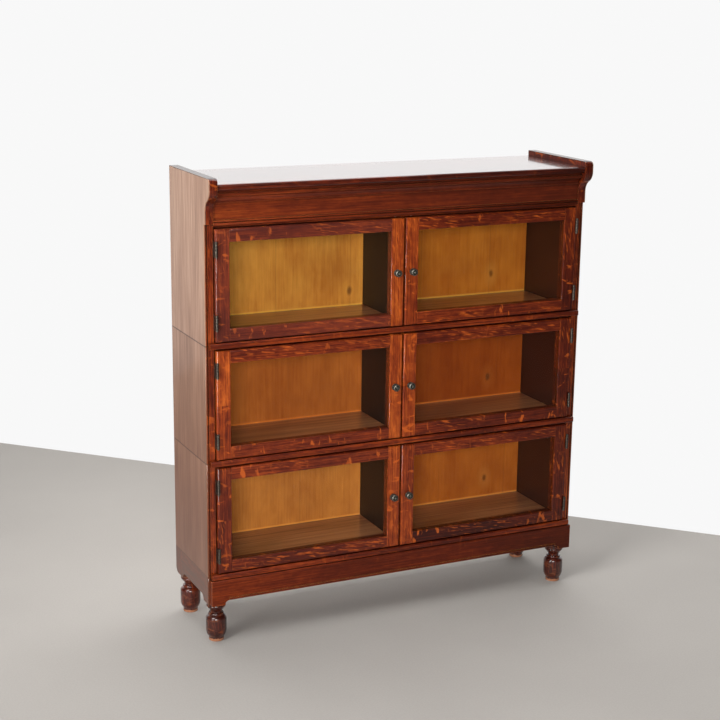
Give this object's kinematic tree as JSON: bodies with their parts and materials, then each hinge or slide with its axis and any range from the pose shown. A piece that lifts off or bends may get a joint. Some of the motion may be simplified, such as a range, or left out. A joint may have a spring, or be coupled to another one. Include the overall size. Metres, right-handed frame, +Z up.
{
  "type": "barrister bookcase",
  "caption": "Stacking barrister bookcase of dark stained oak: base on turned feet, equal sections with pairs of hinged glazed doors, and a moulded cornice with low galleries.",
  "frame": {"origin": "floor level, at the middle of the bookcase's bounding box", "axes": "+Z up, -Y towards the front (the doors), +X towards the viewer's right"},
  "size_m": [0.95, 0.259, 1.058],
  "materials": {
    "case_wood": "dark red-brown stained quarter-sawn oak under gloss varnish",
    "door_wood": "red-brown stained quarter-sawn oak under gloss varnish",
    "foot_wood": "dark red-brown gloss varnish, with bare pale wood at the bottom rings",
    "shelf_wood": "dark brown varnish",
    "back_wood": "golden brown varnished board",
    "door_glass": "clear sheet glass",
    "hinge_metal": "darkened steel",
    "knob_metal": "dark bronze patina",
    "catch_metal": "satin"
  },
  "bodies": {
    "case": {"front_apron": "case_wood", "side_rail_left": "case_wood", "side_rail_right": "case_wood", "base_back_rail": "case_wood", "rear_posts": "case_wood", "corner_blocks": "case_wood", "feet": "foot_wood", "top_board": "case_wood", "frieze": "case_wood", "cove_moulding": "case_wood", "cornice_back_rail": "case_wood", "case_hinge_leaves": "hinge_metal", "hinge_pins": "hinge_metal", "ball_catches": "catch_metal", "lower_end_left": "case_wood", "lower_end_right": "case_wood", "lower_shelf": "shelf_wood", "lower_nosing": "case_wood", "lower_top_rails": "case_wood", "lower_partition": "shelf_wood", "lower_back": "back_wood", "middle_end_left": "case_wood", "middle_end_right": "case_wood", "middle_shelf": "shelf_wood", "middle_nosing": "case_wood", "middle_top_rails": "case_wood", "middle_partition": "shelf_wood", "middle_back": "back_wood", "upper_end_left": "case_wood", "upper_end_right": "case_wood", "upper_shelf": "shelf_wood", "upper_nosing": "case_wood", "upper_top_rails": "case_wood", "upper_partition": "shelf_wood", "upper_back": "back_wood"},
    "lower_door_left": {"lower_door_left_frame": "door_wood", "lower_door_left_glass": "door_glass", "lower_door_left_knob": "knob_metal", "lower_door_left_hinge_leaves": "hinge_metal"},
    "lower_door_right": {"lower_door_right_frame": "door_wood", "lower_door_right_glass": "door_glass", "lower_door_right_knob": "knob_metal", "lower_door_right_hinge_leaves": "hinge_metal"},
    "middle_door_left": {"middle_door_left_frame": "door_wood", "middle_door_left_glass": "door_glass", "middle_door_left_knob": "knob_metal", "middle_door_left_hinge_leaves": "hinge_metal"},
    "middle_door_right": {"middle_door_right_frame": "door_wood", "middle_door_right_glass": "door_glass", "middle_door_right_knob": "knob_metal", "middle_door_right_hinge_leaves": "hinge_metal"},
    "upper_door_left": {"upper_door_left_frame": "door_wood", "upper_door_left_glass": "door_glass", "upper_door_left_knob": "knob_metal", "upper_door_left_hinge_leaves": "hinge_metal"},
    "upper_door_right": {"upper_door_right_frame": "door_wood", "upper_door_right_glass": "door_glass", "upper_door_right_knob": "knob_metal", "upper_door_right_hinge_leaves": "hinge_metal"}
  },
  "joints": [
    {"name": "lower_door_left_hinge", "type": "hinge", "parent": "case", "child": "lower_door_left", "pos_m": [-0.4515, -0.1069, 0.29175], "axis": [0, 0, -1], "range_deg": [0, 110]},
    {"name": "lower_door_right_hinge", "type": "hinge", "parent": "case", "child": "lower_door_right", "pos_m": [0.4515, -0.1069, 0.29175], "axis": [0, 0, 1], "range_deg": [0, 110]},
    {"name": "middle_door_left_hinge", "type": "hinge", "parent": "case", "child": "middle_door_left", "pos_m": [-0.4515, -0.1069, 0.55775], "axis": [0, 0, -1], "range_deg": [0, 110]},
    {"name": "middle_door_right_hinge", "type": "hinge", "parent": "case", "child": "middle_door_right", "pos_m": [0.4515, -0.1069, 0.55775], "axis": [0, 0, 1], "range_deg": [0, 110]},
    {"name": "upper_door_left_hinge", "type": "hinge", "parent": "case", "child": "upper_door_left", "pos_m": [-0.4515, -0.1069, 0.82375], "axis": [0, 0, -1], "range_deg": [0, 110]},
    {"name": "upper_door_right_hinge", "type": "hinge", "parent": "case", "child": "upper_door_right", "pos_m": [0.4515, -0.1069, 0.82375], "axis": [0, 0, 1], "range_deg": [0, 110]}
  ]
}
